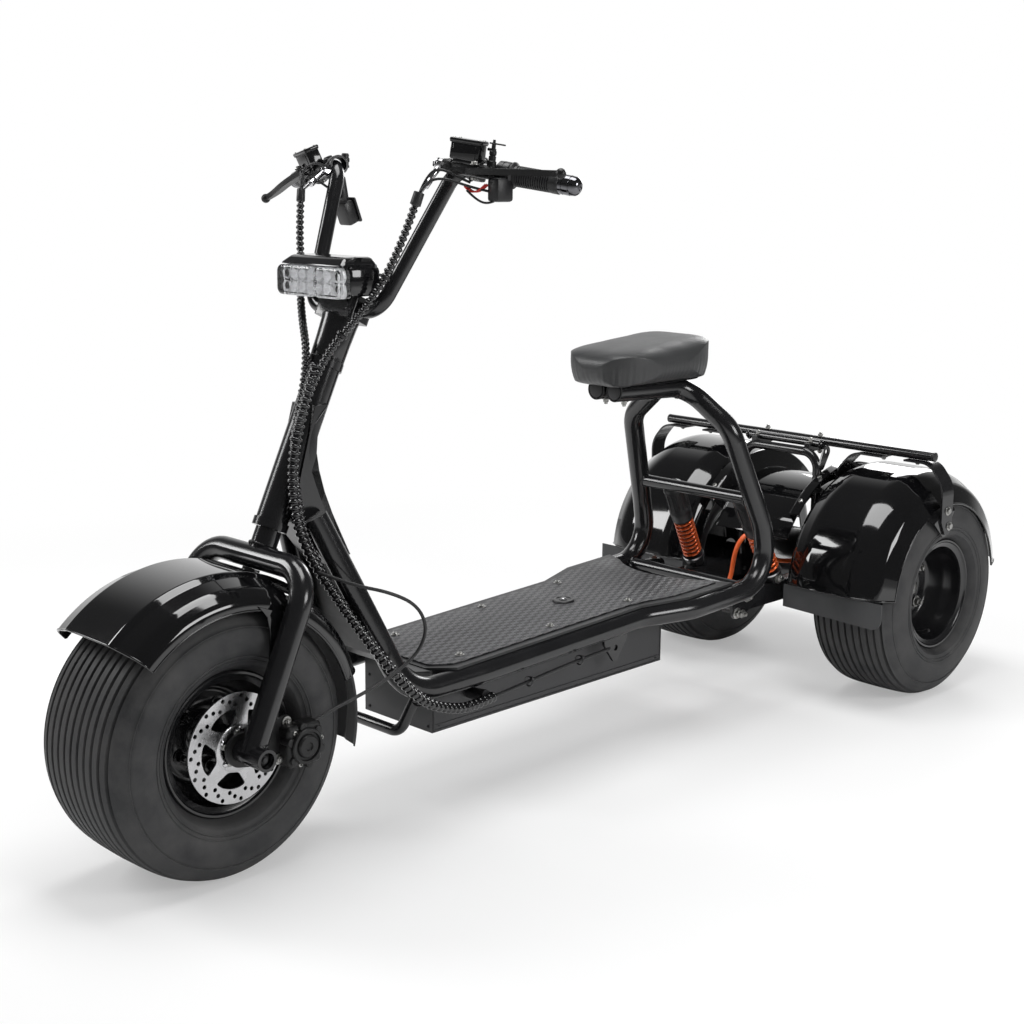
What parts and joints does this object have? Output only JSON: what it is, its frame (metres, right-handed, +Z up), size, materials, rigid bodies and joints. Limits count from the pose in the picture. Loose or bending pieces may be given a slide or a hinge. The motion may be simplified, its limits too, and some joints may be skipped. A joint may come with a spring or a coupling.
{
  "type": "electric tricycle scooter",
  "caption": "Fat-tyre electric tricycle scooter: step-through tube frame with a flat deck, saddle on a tube hoop, steered front wheel and two fendered rear wheels under a luggage bar.",
  "frame": {"origin": "centre of the bounding box's base, on the ground, midway between the wheels left to right", "axes": "+X forward, +Y to the rider's left, +Z up, all wheels on the ground"},
  "size_m": [2.1636, 0.7996, 1.178],
  "materials": {
    "gloss_black_paint": "gloss black enamel",
    "satin_black_paint": "satin black powder coat",
    "black_steel": "black coated steel",
    "grey_case_paint": "dark grey powder coat",
    "bright_steel": "brushed stainless",
    "zinc_steel": "zinc plated",
    "chrome": "polished dark chrome",
    "aluminium": "cast, black anodised",
    "tyre_rubber": "matt, ribbed tread",
    "black_rubber": "matt flexible rubber",
    "black_plastic": "fine grained",
    "gloss_plastic": "gloss moulded",
    "clear_lens": "clear moulded lens",
    "red_lens": "red moulded lens",
    "seat_vinyl": "black vinyl",
    "deck_mat": "black plate under a woven-look mat",
    "orange_spring": "orange powder coat",
    "orange_cable": "orange insulation",
    "cell_pack": "wrapped"
  },
  "bodies": {
    "root": {"head_tube": "satin_black_paint", "left_frame_tube": "satin_black_paint", "right_frame_tube": "satin_black_paint", "cross_tubes": "satin_black_paint", "kick_plate": "satin_black_paint", "guard_hoop": "satin_black_paint", "frame_lugs": "satin_black_paint", "deck_plate": "deck_mat", "battery_case": "grey_case_paint", "battery": "cell_pack", "seat_base": "black_steel", "seat_cushion": "seat_vinyl", "swing_arm": "satin_black_paint", "rear_axle": "black_steel", "shock_absorbers": "black_plastic", "shock_springs": "orange_spring", "left_fender": "gloss_black_paint", "right_fender": "gloss_black_paint", "fender_flaps": "black_rubber", "fender_straps": "black_steel", "centre_panel": "gloss_black_paint", "rear_rack": "satin_black_paint", "tail_lamp": "red_lens", "main_conduit": "black_plastic", "right_conduit": "black_plastic", "deck_cable": "black_rubber", "power_lead": "orange_cable"},
    "steering": {"fork": "satin_black_paint", "front_spindle": "zinc_steel", "front_mudguard": "gloss_black_paint", "front_mudflap": "black_rubber", "brake_caliper": "aluminium", "handlebar": "satin_black_paint", "bar_clamp": "satin_black_paint", "grips": "black_rubber", "bar_ends": "chrome", "brake_cylinders": "aluminium", "levers": "aluminium", "switch_blocks": "black_plastic", "headlamp_housing": "gloss_plastic", "headlamp_lens": "clear_lens", "brake_hose": "black_rubber"},
    "front_wheel": {"front_tyre": "tyre_rubber", "front_rim": "satin_black_paint", "brake_disc": "bright_steel"},
    "rear_left_wheel": {"rear_left_tyre": "tyre_rubber", "rear_left_rim": "satin_black_paint"},
    "rear_right_wheel": {"rear_right_tyre": "tyre_rubber", "rear_right_rim": "satin_black_paint"}
  },
  "joints": [
    {"name": "steering", "type": "hinge", "parent": "root", "child": "steering", "pos_m": [0.69824, 0, 0.54144], "axis": [-0.4226, 0, 0.9063], "range_deg": [-35, 35], "deforming": ["main_conduit", "right_conduit", "brake_hose"]},
    {"name": "front_wheel_spin", "type": "hinge", "parent": "steering", "child": "front_wheel", "pos_m": [0.85316, 0, 0.2286], "axis": [0, 1, 0], "continuous": true},
    {"name": "rear_left_wheel_spin", "type": "hinge", "parent": "root", "child": "rear_left_wheel", "pos_m": [-0.81784, 0.279, 0.2286], "axis": [0, 1, 0], "continuous": true},
    {"name": "rear_right_wheel_spin", "type": "hinge", "parent": "root", "child": "rear_right_wheel", "pos_m": [-0.81784, -0.279, 0.2286], "axis": [0, 1, 0], "continuous": true}
  ]
}
